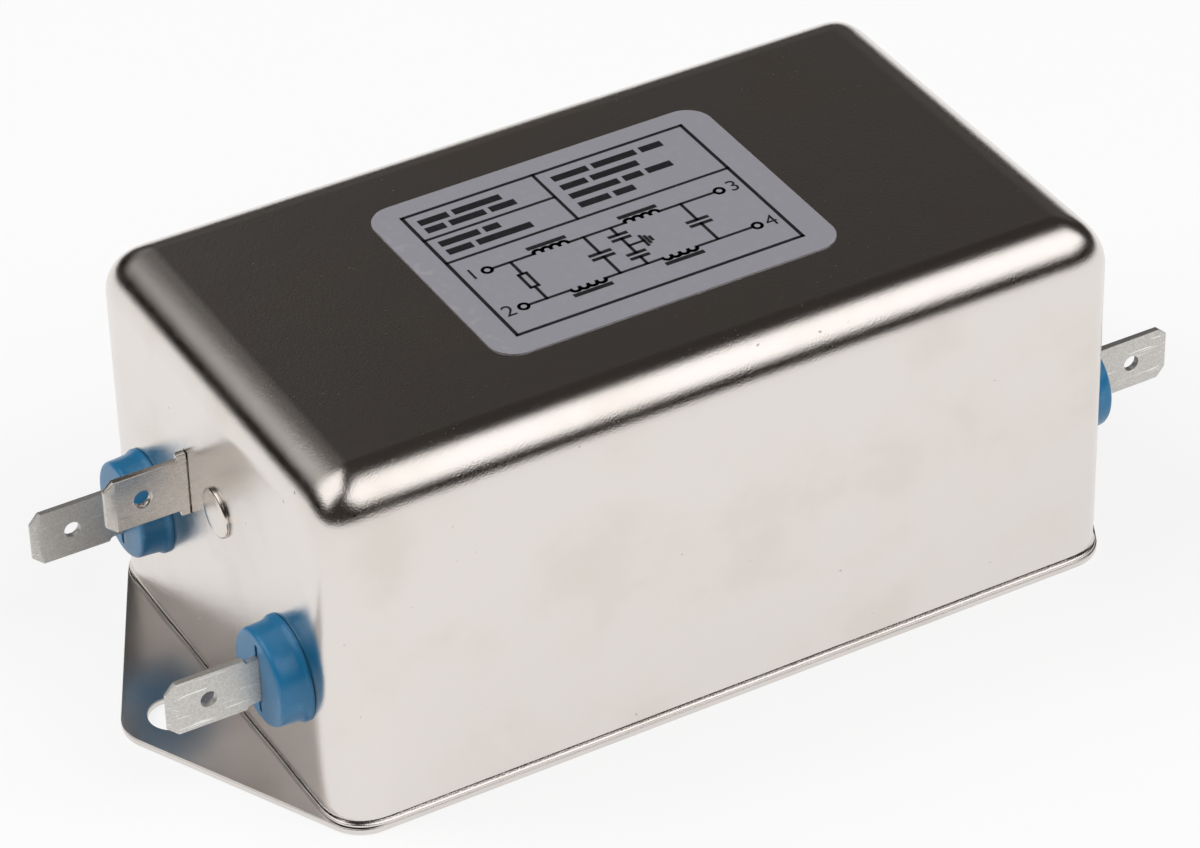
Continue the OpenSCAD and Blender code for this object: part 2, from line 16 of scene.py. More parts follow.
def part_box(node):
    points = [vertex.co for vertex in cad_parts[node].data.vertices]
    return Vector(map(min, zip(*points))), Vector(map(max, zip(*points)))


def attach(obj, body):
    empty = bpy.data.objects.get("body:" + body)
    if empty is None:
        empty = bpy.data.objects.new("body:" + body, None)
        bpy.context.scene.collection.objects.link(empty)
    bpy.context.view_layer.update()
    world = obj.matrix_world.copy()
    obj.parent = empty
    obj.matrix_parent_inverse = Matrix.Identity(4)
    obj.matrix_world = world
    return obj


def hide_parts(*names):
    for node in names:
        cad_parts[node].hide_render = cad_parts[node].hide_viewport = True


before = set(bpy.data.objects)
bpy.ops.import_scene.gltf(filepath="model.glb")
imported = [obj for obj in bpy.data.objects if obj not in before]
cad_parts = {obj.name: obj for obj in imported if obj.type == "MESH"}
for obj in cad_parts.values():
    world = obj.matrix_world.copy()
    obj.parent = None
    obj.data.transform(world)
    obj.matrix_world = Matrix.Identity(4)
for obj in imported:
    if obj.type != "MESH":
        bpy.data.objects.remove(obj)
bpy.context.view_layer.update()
print("pieces in the frame:", len(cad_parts))

# %% [markdown]
# ## The camera
# The photograph was taken with a long lens from well above the near corner. Its place, direction and lens
# were solved from the edges of the can and the plate, so the camera is set from unit vectors rather than
# by eye. The eye's place is in millimetres, and so is the lens, for a sensor 36 mm wide. The Standard view
# shows colours as they are written.

# %% Set the camera
MM = 0.001
EYE = Vector((-209.074, -380.707, 336.449))
LENS, SENSOR = 152.71, 36
right = Vector((0.869804, -0.492936, -0.02134)).normalized()
up = Vector((0.306536, 0.505991, 0.806231)).normalized()
back = right.cross(up)
camera = bpy.data.objects.new("camera", bpy.data.cameras.new("camera"))
bpy.context.collection.objects.link(camera)
camera.matrix_world = Matrix.Translation(EYE * MM) @ Matrix((right, up, back)).transposed().to_4x4()
camera.data.sensor_fit = "HORIZONTAL"
camera.data.sensor_width = SENSOR
camera.data.lens = LENS
camera.data.clip_start = 0.01
bpy.context.scene.camera = camera
bpy.context.scene.view_settings.view_transform = "Standard"
print("camera looks along", [round(v, 3) for v in -back])

# %% [markdown]
# ## A short way to write materials
# A material is a net of nodes, and wired by hand it takes many lines. So one small class stands for "the
# value that comes out of here". Sums on such values add Math nodes by themselves, and every other node
# comes from one method, which takes its settings and its inputs.

# %% The wire class
class Wire:
    """A value on its way through a net of nodes."""

    def __init__(self, tree, socket=None):
        self.tree = tree
        self.socket = socket

    def node(self, kind, settings=None, inputs=None, out=0):
        """Adds any node: its settings first, then the values or wires of its inputs."""
        made = self.tree.nodes.new("ShaderNode" + kind)
        for name, value in (settings or {}).items():
            if name == "stops":
                set_stops(made.color_ramp, value)
            else:
                setattr(made, name, value)
        for name, value in (inputs or {}).items():
            if isinstance(value, Wire):
                self.tree.links.new(value.socket, made.inputs[name])
            else:
                made.inputs[name].default_value = value
        return Wire(self.tree, made.outputs[out])

    def math(self, operation, first, second=0.0):
        """Adds one Math node."""
        return self.node("Math", {"operation": operation}, {0: first, 1: second})

    def __add__(self, other):
        return self.math("ADD", self, other)

    def __sub__(self, other):
        return self.math("SUBTRACT", self, other)

    def __rsub__(self, other):
        return self.math("SUBTRACT", other, self)

    def __mul__(self, other):
        return self.math("MULTIPLY", self, other)

    def __truediv__(self, other):
        return self.math("DIVIDE", self, other)

    __radd__ = __add__
    __rmul__ = __mul__


def set_stops(ramp, stops):
    """Gives a colour ramp its places and colours."""
    while len(ramp.elements) < len(stops):
        ramp.elements.new(0.5)
    for element, (place, colour) in zip(ramp.elements, stops):
        element.position = place
        element.color = (*colour, 1)


print("a wire can be added, subtracted, multiplied and divided")

# %% [markdown]
# A few helpers turn up in most materials. `grain` is noise of a known size in millimetres, which can be
# drawn out along one direction, `step` makes a soft-edged mask out of it, `blend` mixes two colours by a
# mask, and `relief` turns a height into bumps. `coordinate` picks the X, Y or Z of a place.

# %% Helpers for textures
def coordinate(place, letter):
    """The X, Y or Z of a place or a direction."""
    return place.node("SeparateXYZ", {}, {0: place}, out=letter)


def grain(place, size, detail=2.0, stretch=(1, 1, 1), shift=0.0):
    """Noise with bumps about size millimetres across, longer where stretch is above 1."""
    moved = place.node("Mapping", {}, {
        "Vector": place, "Location": (shift, shift * 0.7, shift * 1.3),
        "Scale": tuple(1 / s for s in stretch)})
    return place.node("TexNoise", {}, {"Vector": moved, "Scale": 1 / (size * MM), "Detail": detail})


def step(value, low, high):
    """0 below low, 1 above high, smooth in between."""
    return value.node("MapRange", {"interpolation_type": "SMOOTHSTEP"},
                      {"Value": value, "From Min": low, "From Max": high})


def blend(mask, first, second):
    """The first colour where the mask is 0, the second where it is 1."""
    return mask.node("Mix", {"data_type": "RGBA"}, {0: mask, 6: first, 7: second}, out=2)


def new_material(name, **constants):
    """A material, its shader, and a wire with the place on the piece, in metres."""
    material = bpy.data.materials.new(name)
    material.use_nodes = True
    shader = material.node_tree.nodes["Principled BSDF"]
    for socket, value in constants.items():
        shader.inputs[socket.replace("_", " ")].default_value = value
    return material, shader, Wire(material.node_tree).node("TexCoord", out="Object")


def feed(shader, socket, wire):
    """Leads a wire into one input of the shader."""
    wire.tree.links.new(wire.socket, shader.inputs[socket])


def relief(shader, height, microns):
    """Turns a height into bumps, where a height of 1 stands for so many microns."""
    feed(shader, "Normal", height.node("Bump", {}, {"Height": height, "Distance": microns * 1e-6}))


print("helpers for materials are ready")

# %% [markdown]
# ## The plated steel of the can
# Deep drawing stretches the sheet and leaves a fine orange-peel grain under the bright plating, so the
# can mirrors the studio, but softly. Two fine noises, a fifth and a tenth of a millimetre across, make
# the grain, and a wide one lets the sheet wave a little. Soft masks make the faint warm smudges that hands
# leave, and, only here and there, small dark specks and short marks.

# %% Make the can's steel
steel, shader, place = new_material("plated_can_steel", Metallic=1.0)
smudge = step(grain(place, 14, 4, shift=3.1), 0.45, 0.75)
speck = step(grain(place, 0.8, 1, shift=5.3), 0.76, 0.79)
speck = speck * step(grain(place, 9, 1, shift=8.2), 0.52, 0.6)
tone = blend(smudge, (0.777, 0.730, 0.697, 1), (0.735, 0.678, 0.628, 1))
feed(shader, "Base Color", blend(speck * 0.45, tone, (0.30, 0.25, 0.21, 1)))
scratch = step(grain(place, 0.11, 1, stretch=(5, 2, 1), shift=6.6), 0.76, 0.79)
scratch = scratch * step(grain(place, 6, 1, shift=9.4), 0.54, 0.62)
feed(shader, "Roughness", 0.175 + smudge * 0.04 + speck * 0.2 + scratch * 0.25)
peel = grain(place, 0.20, 2, shift=1.7) * 0.8 + grain(place, 0.11, 1, shift=0.6) * 0.6
relief(shader, peel + grain(place, 9, 1, shift=2.2) * 1.5, 17.0)
print("made", steel.name)

# %% [markdown]
# The base plate is cut from rolled sheet. It has the same plating over a duller face, with very faint
# rolling lines along its length, so its reflections run a little wider.

# %% Make the plate's steel
plate_steel, shader, place = new_material("plated_base_steel", Metallic=1.0)
lines = grain(place, 0.2, 2, stretch=(10, 1, 1), shift=4.4)
patch = step(grain(place, 7, 3, shift=6.0), 0.4, 0.8)
feed(shader, "Base Color", blend(patch, (0.74, 0.70, 0.67, 1), (0.68, 0.635, 0.60, 1)))
feed(shader, "Roughness", 0.23 + patch * 0.03 + lines * 0.02)
skin = lines * 0.02 + grain(place, 0.22, 2, shift=0.4) * 0.8
relief(shader, skin + grain(place, 5, 1, shift=2.0) * 2.0, 9.0)
print("made", plate_steel.name)

# %% [markdown]
# ## The blades' finishes
# The four current blades are tinned brass. Tin is soft and matt, and the stamping tool drags it out into
# lengthwise scratches, so its noise is stretched along the blade. The earth blade and the rivet are nickel
# plated instead: brighter and smoother, with only hairlines. What shows of the earth blade lies beyond
# 2 mm in Y. It has been handled, so a mask there makes it duller and slightly stained.

# %% Make the tin and the nickel
tin, shader, place = new_material("satin_tin", Metallic=1.0)
drag = grain(place, 0.10, 2, stretch=(18, 1, 1), shift=2.0)
score = step(grain(place, 0.16, 1, stretch=(34, 1, 1), shift=7.0), 0.66, 0.72)
mottle = grain(place, 0.22, 3, shift=1.0)
dull = blend(step(mottle, 0.3, 0.7), (0.60, 0.58, 0.55, 1), (0.72, 0.70, 0.67, 1))
feed(shader, "Base Color", blend(score, dull, (0.92, 0.91, 0.89, 1)))
feed(shader, "Roughness", 0.50 - score * 0.18 + mottle * 0.06)
relief(shader, drag * 0.5 + score * 0.5 + mottle, 9.0)

nickel, shader, place = new_material("bright_nickel", Metallic=1.0)
hair = step(grain(place, 0.07, 1, stretch=(25, 1, 3), shift=9.0), 0.62, 0.8)
handled = step(coordinate(place, "Y"), 2 * MM, 3 * MM)
stain = step(grain(place, 0.9, 4, shift=1.4), 0.40, 0.68) * handled
tone = blend(handled * 0.7, (0.75, 0.70, 0.65, 1), (0.60, 0.565, 0.525, 1))
feed(shader, "Base Color", blend(hair * 0.4 + stain * 0.07, tone, (0.44, 0.40, 0.355, 1)))
feed(shader, "Roughness", 0.18 + hair * 0.08 + stain * 0.03 + handled * 0.08)
skin = hair * 0.1 + grain(place, 0.2, 1, shift=5.0) * 0.8
relief(shader, skin + grain(place, 3.0, 1, shift=1.0) * 2.0, 5.0)
print("made", tin.name, "and", nickel.name)

# %% [markdown]
# ## The bushings' plastic
# The bushings are moulded in a glossy blue polyamide. It is smooth, apart from a very fine grain and
# slightly paler, scuffed spots where blades and fingers have touched it.

# %% Make the blue plastic
blue, shader, place = new_material("blue_polyamide", IOR=1.53)
scuff = step(grain(place, 1.6, 4, shift=4.0), 0.55, 0.78)
feed(shader, "Base Color", blend(scuff, (0.014, 0.175, 0.370, 1), (0.055, 0.250, 0.450, 1)))
feed(shader, "Roughness", 0.31 + scuff * 0.14)
relief(shader, grain(place, 0.18, 2, shift=1.0) + grain(place, 1.2, 1, shift=6.0) * 2.0, 2.0)
print("made", blue.name)

# %% [markdown]
# ## The label's film and its print
# The type label is a matt silver film. Its grain is fine and slightly stretched, and its left edge is a
# little rubbed. The print is a thin layer of black ink. It is made as shapes of its own, above the film,
# with its colour broken up slightly where the ink lies thin.

# %% Make the film and the ink
film, shader, place = new_material("silver_film", Metallic=0.55)
weave = grain(place, 0.10, 2, stretch=(2, 1, 1), shift=2.0)
worn = step(grain(place, 1.1, 4, shift=3.0), 0.50, 0.72)
edge = step(0.0 - coordinate(place, "X"), 17.2 * MM, 19.8 * MM)
feed(shader, "Base Color", blend(worn * (0.2 + edge * 0.6), (0.49, 0.485, 0.535, 1), (0.60, 0.59, 0.61, 1)))
feed(shader, "Roughness", 0.52 + weave * 0.12)
relief(shader, weave + grain(place, 3.0, 2, shift=5.0) * 1.5, 3.0)

ink, shader, place = new_material("black_print")
thin = step(grain(place, 0.35, 3, shift=1.0), 0.55, 0.80)
feed(shader, "Base Color", blend(thin, (0.012, 0.012, 0.014, 1), (0.045, 0.045, 0.052, 1)))
feed(shader, "Roughness", 0.42 + thin * 0.15)
relief(shader, thin, 1.0)
print("made", film.name, "and", ink.name)

# %% [markdown]
# ## How a piece is finished
# Pieces are drawn in millimetres, because that is how a drawing gives them. The last step merges doubled
# points, turns all faces outwards, scales the mesh to metres and ties the piece to the body that it
# belongs to. Weighted normals keep large flat faces flat in reflections where they meet round edges.

# %% Finish a piece
def finish_piece(name, form, material, nodes, sharp=40):
    """Makes a finished object out of a form drawn in millimetres; it stands for the CAD nodes."""
    bmesh.ops.remove_doubles(form, verts=form.verts, dist=0.0005)
    bmesh.ops.recalc_face_normals(form, faces=form.faces)
    bmesh.ops.scale(form, vec=(MM, MM, MM), verts=form.verts)
    mesh = bpy.data.meshes.new(name)
    form.to_mesh(mesh)
    form.free()
    mesh.materials.append(material)
    mesh.shade_smooth()
    mesh.set_sharp_from_angle(angle=math.radians(sharp))
    piece = bpy.data.objects.new(name, mesh)
    bpy.context.collection.objects.link(piece)
    flats = piece.modifiers.new("flat faces stay flat", "WEIGHTED_NORMAL")
    flats.keep_sharp = True
    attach(piece, "root")
    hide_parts(*nodes)
    print(name, [round(v / MM, 2) for v in piece.dimensions], "mm,", len(mesh.polygons), "faces")


print("a millimetre in the drawing is", MM, "m in the scene")

# %% [markdown]
# Slots and holes are cut with a tool shape, as a punch does. The Boolean modifier does the cutting, its
# result is read back into a form at once, and the tool is thrown away.

# %% Cut a tool's shape out of a form, or weld it on
def cut(form, tool, operation="DIFFERENCE"):
    """Takes the tool out of the form, or adds it, and gives back the new form."""
    shapes = []
    for part in (form, tool):
        bmesh.ops.recalc_face_normals(part, faces=part.faces)
        mesh = bpy.data.meshes.new("cutting")
        part.to_mesh(mesh)
        part.free()
        shapes.append(bpy.data.objects.new("cutting", mesh))
        bpy.context.collection.objects.link(shapes[-1])
    punch = shapes[0].modifiers.new("punch", "BOOLEAN")
    punch.operation = operation
    punch.solver = "EXACT"
    punch.use_self = True
    punch.object = shapes[1]
    bpy.context.view_layer.update()
    result = bmesh.new()
    result.from_object(shapes[0], bpy.context.evaluated_depsgraph_get())
    for shape in shapes:
        bpy.data.meshes.remove(shape.data)
    return result


print("the punch is ready")

# %% [markdown]
# The punches are round bars and blocks. A cut or stamped edge is never quite sharp on a real piece, and
# the thin bright line that a broken edge mirrors is what makes metal look solid, so such edges get a
# small bevel. The bevel finds them by the angle between their faces.

# %% Simple tools and broken edges
def rod(form, centre, axis, radius, length, sides=48):
    """A round bar along X, Y or Z, about its centre."""
    turn = {"X": Matrix.Rotation(math.pi / 2, 4, "Y"), "Y": Matrix.Rotation(-math.pi / 2, 4, "X"),
            "Z": Matrix.Identity(4)}[axis]
    bmesh.ops.create_cone(form, cap_ends=True, segments=sides, radius1=radius, radius2=radius,
                          depth=length, matrix=Matrix.Translation(centre) @ turn)


def block(form, centre, size):
    """A box about its centre."""
    stretched = Matrix.Diagonal((*size, 1))
    bmesh.ops.create_cube(form, size=1, matrix=Matrix.Translation(centre) @ stretched)


def soften(form, size, limit=50, steps=2, where=lambda edge: True):
    """Breaks the edges that are sharper than limit degrees, and gives their number."""
    edges = [e for e in form.edges if len(e.link_faces) == 2
             and e.calc_face_angle() > math.radians(limit) and where(e)]
    bmesh.ops.bevel(form, geom=edges, affect="EDGES", offset=size, segments=steps, profile=0.5,
                    material=-1, clamp_overlap=False)
    return len(edges)


print("rods, blocks and broken edges are ready")

# %% [markdown]
# ## The can
# The real can is one sheet, drawn down over a block: four walls, rounded upright corners, a rounded edge
# along the top and a thin flange at the foot. A bevelled cube gives round corners of one radius only, but
# here the top edge is rounder (5.5 mm) than the upright corners (4.2 mm), and the flat top ends in
# corners that are almost sharp. So the shell is built from rows instead: each row is a rectangle whose
# corners are bevelled, and each row is bridged to the next. Drawn steel leaves a wall gently rather than
# at a line, so the corners' profile is a little squarer than a circle and starts a little earlier.

# %% One row of the shell
CAN_L, CAN_W, CAN_TOP, PLATE_T = 92.4, 53.4, 42.5, 0.75
CORNER_R, TOP_R, SHEET = 4.2, 5.5, 0.4
CORNER_START, CORNER_PROFILE = 1.45, 0.63


def row(form, out, radius, height, closed=False):
    """A rounded rectangle at a height, moved out from the wall by out; gives its edges."""
    before = set(form.edges)
    size = Matrix.Diagonal((CAN_L + 2 * out, CAN_W + 2 * out, 1, 1))
    corners = bmesh.ops.create_grid(form, x_segments=1, y_segments=1, size=0.5,
                                    matrix=Matrix.Translation((0, 0, height)) @ size)["verts"]
    bmesh.ops.bevel(form, geom=corners, affect="VERTICES", offset=radius * CORNER_START, segments=20,
                    profile=CORNER_PROFILE, material=-1)
    straight = [e for e in form.edges if e not in before and e.calc_length() > 20]
    bmesh.ops.subdivide_edges(form, edges=straight, cuts=23)
    edges = [e for e in form.edges if e not in before]
    if not closed:
        bmesh.ops.delete(form, geom=list(edges[0].link_faces), context="FACES_ONLY")
    return edges


def shell(form, rows):
    """Bridges rows, given as (out, radius, height), into one skin that ends in a closed flat."""
    edges = [row(form, *one, closed=one is rows[-1]) for one in rows]
    for lower, upper in zip(edges, edges[1:]):
        bmesh.ops.bridge_loops(form, edges=lower + upper)
    return edges[0]


print("the can is", CAN_L, "x", CAN_W, "mm, and its top lies", CAN_TOP, "mm up")

# %% [markdown]
# The sheet has two sides, so the can has two skins, joined at the foot. The outer one starts with the
# flange's outline, whose rows lie close together because the foot's bright and dark lines are mirrored
# there. Along the rounded top edge the rows follow a quarter circle, and each corner's radius shrinks
# with them, down to the nearly sharp corner of the flat. The inner skin needs half as many rows.

# %% The outer and the inner skin
TOP_STEPS = 24
foot_rows = [(0.16, 0.75), (0.33, 0.755), (0.385, 0.79), (0.40, 0.84), (0.40, 0.96), (0.393, 1.005),
             (0.37, 1.04), (0.305, 1.09), (0.24, 1.14), (0.225, 1.158), (0.13, 1.28), (0.035, 1.40),
             (0.010, 1.455), (0.003, 1.50), (0.0, 1.56), (0.0, 2.3)]
outer = [(out, CORNER_R + out, z) for out, z in foot_rows]
outer += [(0.0, CORNER_R, z) for z in (6.0, 15.0, 24.0, 32.0, 36.4)]
inner = [(-SHEET, CORNER_R - SHEET, z) for z in (PLATE_T + 0.08, 15.0, 30.0, 36.4)]
for i in range(TOP_STEPS + 1):
    t = math.radians(90 * i / TOP_STEPS)
    corner = max(CORNER_R * math.cos(t), 0.35)
    outer.append((-TOP_R * (1 - math.cos(t)), corner, CAN_TOP - TOP_R + TOP_R * math.sin(t)))
    if i % 2 == 0:
        bend = TOP_R - SHEET
        inner.append((-SHEET - bend * (1 - math.cos(t)), max(corner - SHEET, 0.2),
                      CAN_TOP - TOP_R + bend * math.sin(t)))
can = bmesh.new()
bmesh.ops.bridge_loops(can, edges=shell(can, outer) + shell(can, inner))
bmesh.ops.recalc_face_normals(can, faces=can.faces)
print("rows:", len(outer) + len(inner), "steel in the can:", round(can.calc_volume() / 1000, 2), "cm3")

# %% [markdown]
# The flange isn't quite even on the real can: it stands out a little more or less along the sides, and at
# the near corner it doesn't touch the plate, which leaves a thin dark slit. Its points are pulled in by
# about a tenth of a millimetre at most, and lifted at that corner by up to 0.16 mm. The walls stay put.

# %% Make the foot a little uneven
FLANGE_END, FLANGE_FADE = 1.7, 0.4
SWAY, SWAY_AT = 0.035, 30
LIFT, LIFT_WIDE, LIFT_X, LIFT_Y = 0.16, 2.6, -45.4, -25.9
for vert in can.verts:
    x, y, z = vert.co
    low = min(max((FLANGE_END - z) / FLANGE_FADE, 0.0), 1.0)
    sway = SWAY * (1 + math.sin(0.21 * x + 0.34 * y) * math.cos(0.13 * x - 0.27 * y))
    pull = 1 - low * sway / SWAY_AT
    vert.co.x, vert.co.y = x * pull, y * pull
    gap = math.hypot(x - LIFT_X, y - LIFT_Y)
    vert.co.z += low * LIFT * math.exp(-(gap / LIFT_WIDE) ** 2)
print("lowest point of the can:", round(min(vert.co.z for vert in can.verts), 3), "mm")

# %% [markdown]
# Each end wall has two round openings for bushings. The line end also has a hole for the rivet and an
# upright slot for the earth blade. They are punched through both skins at once. The rim of the slot
# shows, so its edges are broken, and the other rims stay sharp because a piece covers them.

# %% Cut the can's openings
WALL_X, BUSH_Y, BUSH_Z = 46.2, 16.2, 15.5
EARTH_Y, EARTH_Z, RIVET_Y, RIVET_Z = 5.9, 24.6, -1.3, 25.3
SEATS = [(end, side, number, y) for end, side in (("line", -1), ("load", 1))
         for number, y in ((1, -BUSH_Y), (2, BUSH_Y))]


def on_slot_rim(edge):
    """Whether an edge lies on the outer rim of the earth blade's slot."""
    return all(abs(v.co.x + WALL_X) < 0.02 and 5.1 < v.co.y < 6.4 and abs(v.co.z - EARTH_Z) < 4
               for v in edge.verts)


punch = bmesh.new()
for end, side, number, y in SEATS:
    rod(punch, (side * WALL_X, y, BUSH_Z), "X", 4.95, 3.0)
rod(punch, (-WALL_X, RIVET_Y, RIVET_Z), "X", 1.55, 3.0)
block(punch, (-WALL_X, 5.84, EARTH_Z), (3.0, 1.00, 7.9))
can = cut(can, punch)
print("edges broken at the slot:", soften(can, 0.10, limit=70, where=on_slot_rim))
finish_piece("drawn_can", can, steel, ["case_can"], sharp=60)

# %% [markdown]
# ## The base plate
# A press blanks the plate out of sheet 0.75 mm thick: a rectangle with round corners that runs out to an
# ear with a bolt hole at each end. Six discs mark its corners, and a convex hull over them gives the
# outline with every tangent right. The press leaves slightly rolled edges, hence the small bevel.

# %% Make the base plate
HOLE_X, HOLE_R = 52.5, 2.65
plate = bmesh.new()
discs = [(x, y, 4.6) for x in (42, -42) for y in (22.5, -22.5)] + [(53, 0, 5), (-53, 0, 5)]
for x, y, radius in discs:
    rod(plate, (x, y, PLATE_T / 2), "Z", radius, PLATE_T, sides=96)
hull = bmesh.ops.convex_hull(plate, input=plate.verts)
spare = set(hull["geom_interior"] + hull["geom_unused"] + hull["geom_holes"])
bmesh.ops.delete(plate, geom=[g for g in spare if isinstance(g, bmesh.types.BMVert)], context="VERTS")
bmesh.ops.dissolve_limit(plate, angle_limit=math.radians(1), verts=plate.verts, edges=plate.edges)
holes = bmesh.new()
for x in (-HOLE_X, HOLE_X):
    rod(holes, (x, 0, PLATE_T / 2), "Z", HOLE_R, 2.0, sides=72)
plate = cut(plate, holes)
print("edges broken:", soften(plate, 0.13, steps=3))
finish_piece("eared_base_plate", plate, plate_steel, ["base_plate"], sharp=50)

# %% [markdown]
# ## The bushings
# Each bushing is a turned shape: a collar inside the wall, a thin rim outside, a hollow flare, and a
# straight barrel with a rounded front. It is half a cross-section, spun once round its axis. The mould
# leaves a fine seam along the top.

# %% Turn one bushing
SEAM = 0.07


def turned(outline):
    """Half a cross-section of points (radius, x), spun once round the X axis."""
    form = bmesh.new()
    verts = [form.verts.new((x, 0, radius)) for radius, x in outline]
    edges = [form.edges.new(pair) for pair in zip(verts, verts[1:])]
    bmesh.ops.spin(form, geom=verts + edges, cent=(0, 0, 0), axis=(1, 0, 0), angle=2 * math.pi,
                   steps=96, use_merge=True)
    bmesh.ops.remove_doubles(form, verts=form.verts, dist=0.001)
    return form


def bushing():
    """A bushing whose axis is X, with x = 0 on the wall's outer face."""
    form = turned([
        (0, -1.9), (5.85, -1.9), (6.0, -1.75), (6.0, -0.4), (4.9, -0.4), (4.9, 0), (5.68, 0),
        (5.75, 0.07), (5.75, 0.30), (5.70, 0.40), (5.60, 0.52), (5.50, 0.72), (5.43, 1.05),
        (5.38, 1.6), (5.34, 2.3), (5.31, 3.0), (5.27, 3.19), (5.18, 3.35), (5.04, 3.46),
        (4.86, 3.50), (4.2, 3.50), (0, 3.50)])
    for vert in form.verts:
        if vert.co.z > 5 and abs(vert.co.y) < 0.2 and 0.5 < vert.co.x < 3.3:
            vert.co.z += SEAM
    return form


print("a bushing can be turned")

# %% [markdown]
# The blade comes out through a slot in the bushing's face, with a narrow slit above and below it. Both
# are punched while the bushing still lies on its own axis, where their sizes are easy to read, and then
# it is moved to its seat. A bushing at the line end is turned round, because that end looks towards -X.

# %% Cut its slots and set the four in place
SLOT_W, SLOT_H, SLIT_W, SLIT_H = 0.94, 5.56, 0.36, 8.2


def place_at(form, side, y, z):
    """Moves a form from its own axes to the line end (-1) or the load end (1)."""
    turn = Matrix.Rotation(0 if side > 0 else math.pi, 4, "Z")
    bmesh.ops.transform(form, matrix=Matrix.Translation((side * WALL_X, y, z)) @ turn, verts=form.verts)
    return form


for end, side, number, y in SEATS:
    slots = bmesh.new()
    block(slots, (0.8, 0, 0), (8, SLOT_W, SLOT_H))
    block(slots, (3.5, 0, 0), (1.2, SLIT_W, SLIT_H))
    form = cut(bushing(), slots)
    soften(form, 0.07, limit=70, where=lambda e: all(v.co.x > 3.45 for v in e.verts))
    finish_piece(f"{end}_bushing_turned_{number}", place_at(form, side, y, BUSH_Z), blue,
                 [f"{end}_bushing_{number}"], sharp=40)

# %% [markdown]
# ## The four current blades
# A blade is stamped from brass sheet 0.8 mm thick. It starts as half an outline of a few points, with an
# arc where the neck meets the wide part. The outline is mirrored and extruded. The tip is thinned on both
# faces, so that it finds its way into a receptacle, and a round hole lets the receptacle catch.

# %% Stamp one current blade
BLADE_T, BLADE_HOLE, BLADE_TIP, TIP_L = 0.8, 9.15, 12.5, 1.3


def stamped(points, thickness):
    """A flat shape with outline points (x, z), extruded evenly about y = 0."""
    form = bmesh.new()
    face = form.faces.new([form.verts.new((x, -thickness / 2, z)) for x, z in points])
    grown = bmesh.ops.extrude_face_region(form, geom=[face])
    bmesh.ops.translate(form, vec=(0, thickness, 0),
                        verts=[g for g in grown["geom"] if isinstance(g, bmesh.types.BMVert)])
    return form


def mirrored(half):
    """A whole outline out of its upper half."""
    return half + [(x, -z) for x, z in reversed(half)]


def scoop(centre, radius, start, stop, steps=8):
    """Points on an arc, from angle start to angle stop."""
    angles = [math.radians(start + (stop - start) * i / steps) for i in range(steps + 1)]
    return [(centre[0] + radius * math.cos(a), centre[1] + radius * math.sin(a)) for a in angles]


def score_across(form, x):
    """Adds edges where the plane at x crosses the form."""
    bmesh.ops.bisect_plane(form, geom=form.verts[:] + form.edges[:] + form.faces[:],
                           plane_co=(x, 0, 0), plane_no=(1, 0, 0))


def thin_tip(form, start, share):
    """Thins a blade beyond x = start, by this share of its thickness at the tip."""
    for vert in form.verts:
        if vert.co.x > start:
            vert.co.y *= 1 - share * (vert.co.x - start) / TIP_L


def current_blade():
    """A current blade along X, with x = 0 on the wall's outer face."""
    half = [(-7.2, 2.7)] + scoop((4.6, 3.15), 0.45, -90, 0) + [(12.63, 3.15), (13.8, 2.15)]
    hole = bmesh.new()
    rod(hole, (BLADE_HOLE, 0, 0), "Y", 0.9, 3.0, sides=40)
    form = cut(stamped(mirrored(half), BLADE_T), hole)
    for x in (BLADE_TIP, 4.9):
        score_across(form, x)
    thin_tip(form, BLADE_TIP, 0.7)
    soften(form, 0.09, limit=40)
    return form


for end, side, number, y in SEATS:
    finish_piece(f"{end}_blade_{number}", place_at(current_blade(), side, y, BUSH_Z), tin,
                 [f"{end}_tab_{number}"], sharp=35)

# %% [markdown]
# ## The earth blade and its rivet
# The earth blade comes out through a slot in the wall. Its shoulders rest against the wall, and behind it
# the strip turns through 90 degrees into a foot that the rivet holds. The outer part is stamped like the
# other blades. Its hole has a wide rolled rim, so that rim gets a larger bevel than the other edges.

# %% Stamp the outer part of the earth blade
EARTH_HOLE, EARTH_TIP = 5.2, 8.1


def from_hole(edge):
    """How far the ends of an edge lie from the axis of the earth blade's hole."""
    return [math.hypot(v.co.x - EARTH_HOLE, v.co.z) for v in edge.verts]


half = [(0.01, 3.85), (0.95, 3.85), (1.1, 3.7), (1.1, 3.15), (8.25, 3.15), (9.4, 2.2)]
hole = bmesh.new()
rod(hole, (EARTH_HOLE, 0, 0), "Y", 0.92, 3.0, sides=40)
earth = cut(stamped(mirrored(half), BLADE_T), hole)
score_across(earth, EARTH_TIP)
thin_tip(earth, EARTH_TIP, 0.4)
rolled = soften(earth, 0.24, limit=40, steps=4, where=lambda e: max(from_hole(e)) < 0.95)
broken = soften(earth, 0.11, limit=40, steps=3, where=lambda e: min(from_hole(e)) >= 1.3)
print("edges rolled:", rolled, "edges broken:", broken)

# %% [markdown]
# The bent part is stamped too, but from above: its outline is the bend seen in plan, with an arc on the
# inside and one on the outside of the corner. A thin disc makes the round end that the rivet holds. Both
# are welded on, so the earth blade is one closed piece.

